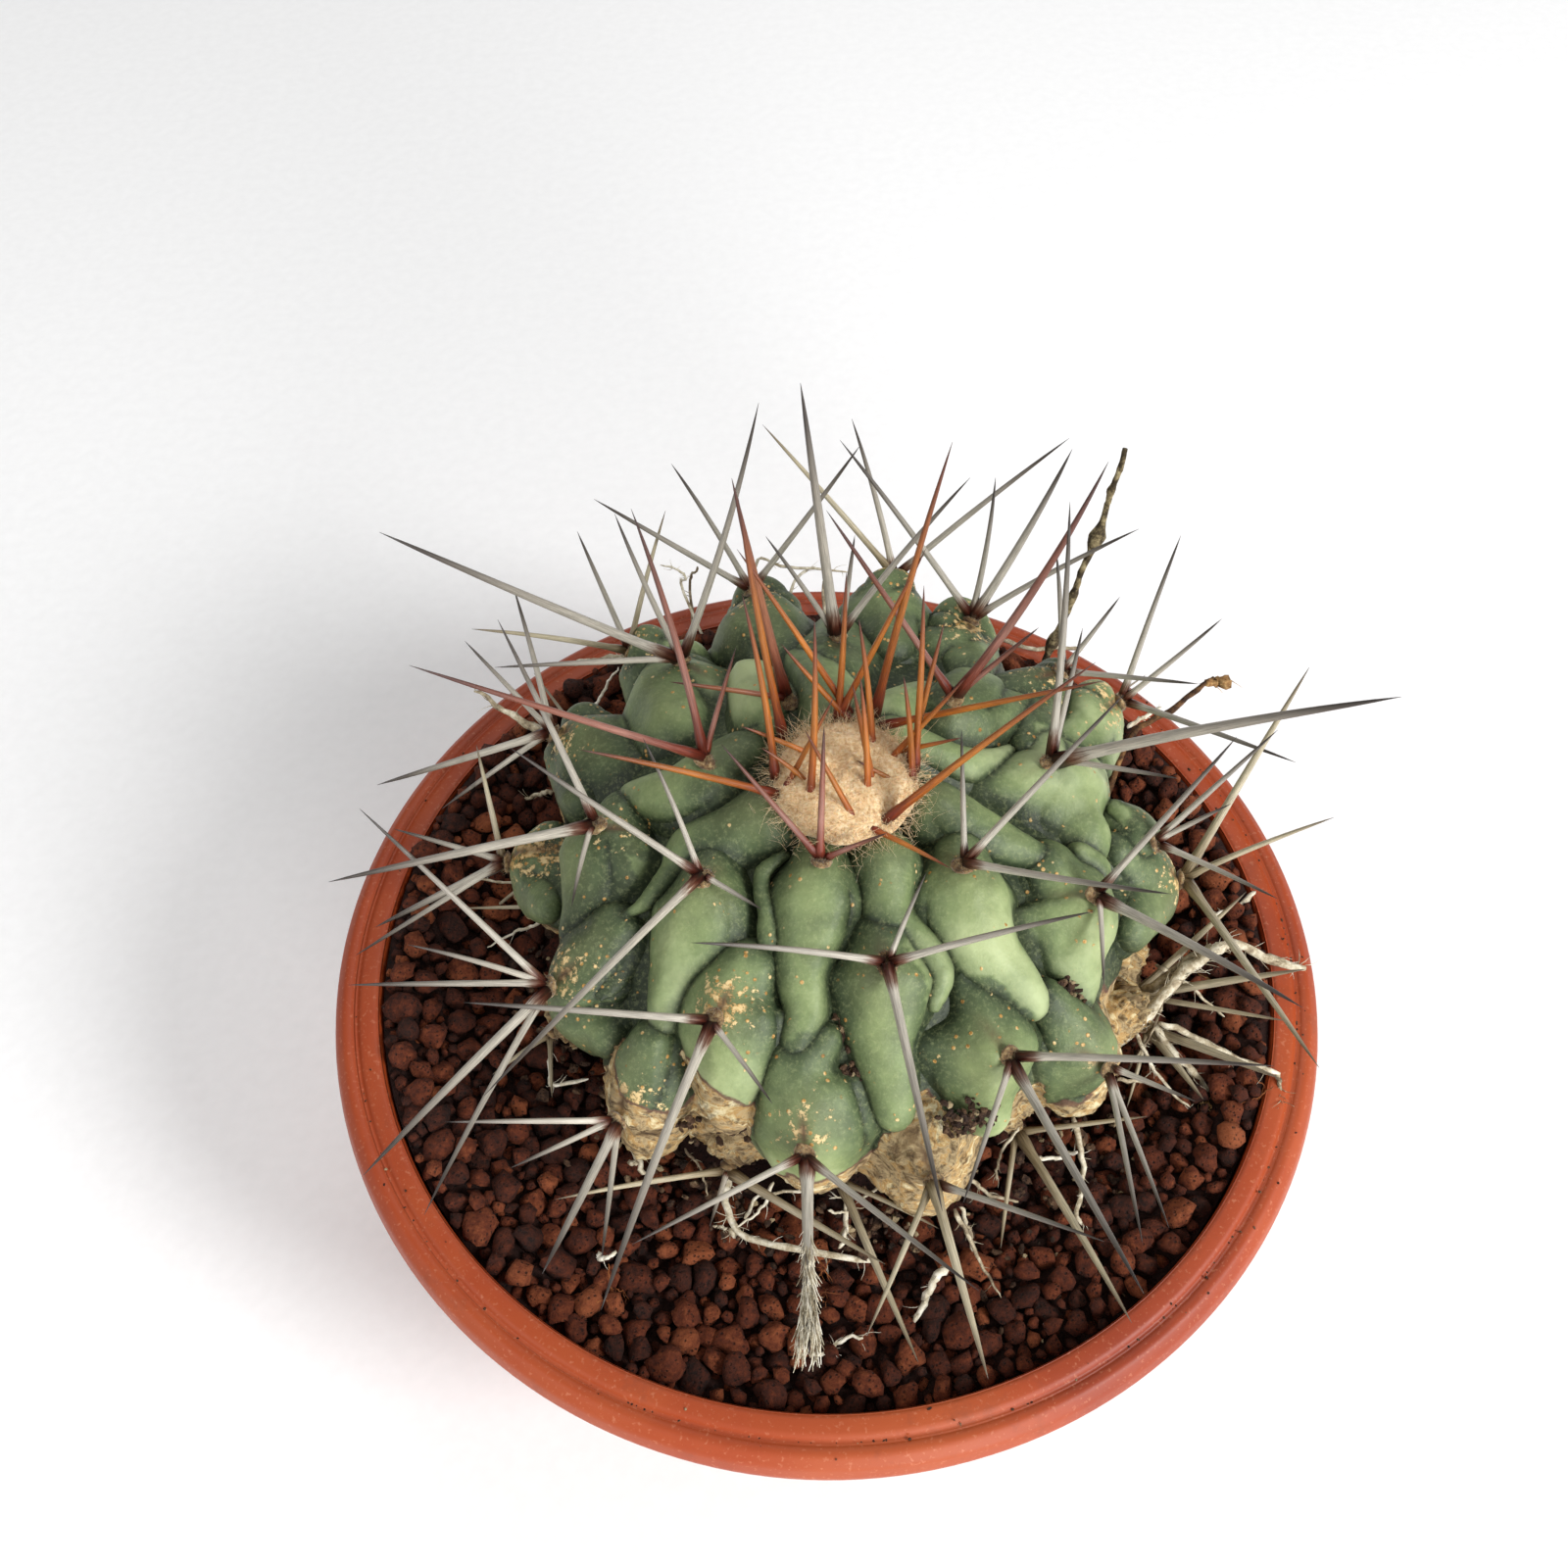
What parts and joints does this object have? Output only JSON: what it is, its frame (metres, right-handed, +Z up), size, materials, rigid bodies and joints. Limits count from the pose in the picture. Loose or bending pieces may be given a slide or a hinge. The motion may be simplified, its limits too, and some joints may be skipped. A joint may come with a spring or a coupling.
{
  "type": "potted barrel cactus",
  "caption": "Flat-globose grey-green cactus with big chin-shaped tubercles, long straight spines and a woolly crown, in a shallow terracotta-coloured bowl of red lava granules.",
  "frame": {"origin": "centre of the pot's foot, on the pot's axis, at the height of the surface that it rests on", "axes": "+Z up along the pot's axis, -Y towards the side that faces the viewer in the reference picture, +X to that viewer's right"},
  "size_m": [0.18, 0.18, 0.1763],
  "materials": {
    "terracotta_plastic": "satin, faintly speckled",
    "lava_granules": "rough, porous",
    "cactus_skin": "glaucous, waxy bloom",
    "young_spines_and_wool": "amber spines over cream wool",
    "spines": "horny, grey with red-brown bases",
    "dried_spines": "dry, straw-coloured",
    "dry_stalk": "dry, weathered"
  },
  "bodies": {
    "root": {"pot": "terracotta_plastic", "substrate": "lava_granules", "stem": "cactus_skin", "crown": "young_spines_and_wool", "areole_05": "spines", "areole_06": "spines", "areole_07": "spines", "areole_08": "spines", "areole_09": "spines", "areole_10": "spines", "areole_11": "spines", "areole_12": "spines", "areole_13": "spines", "areole_14": "spines", "areole_15": "spines", "areole_16": "spines", "areole_17": "spines", "areole_18": "spines", "areole_19": "spines", "areole_20": "spines", "areole_21": "spines", "areole_22": "spines", "areole_23": "spines", "areole_24": "spines", "areole_25": "spines", "areole_26": "spines", "areole_27": "spines", "areole_28": "spines", "areole_29": "spines", "areole_30": "spines", "areole_31": "spines", "areole_32": "spines", "areole_33": "spines", "areole_34": "dried_spines", "areole_35": "dried_spines", "areole_36": "dried_spines", "areole_37": "dried_spines", "areole_38": "dried_spines", "areole_39": "dried_spines", "areole_40": "dried_spines", "areole_41": "dried_spines", "areole_42": "dried_spines", "areole_43": "dried_spines", "areole_44": "dried_spines", "areole_45": "dried_spines", "dry_stalk": "dry_stalk"}
  },
  "joints": []
}
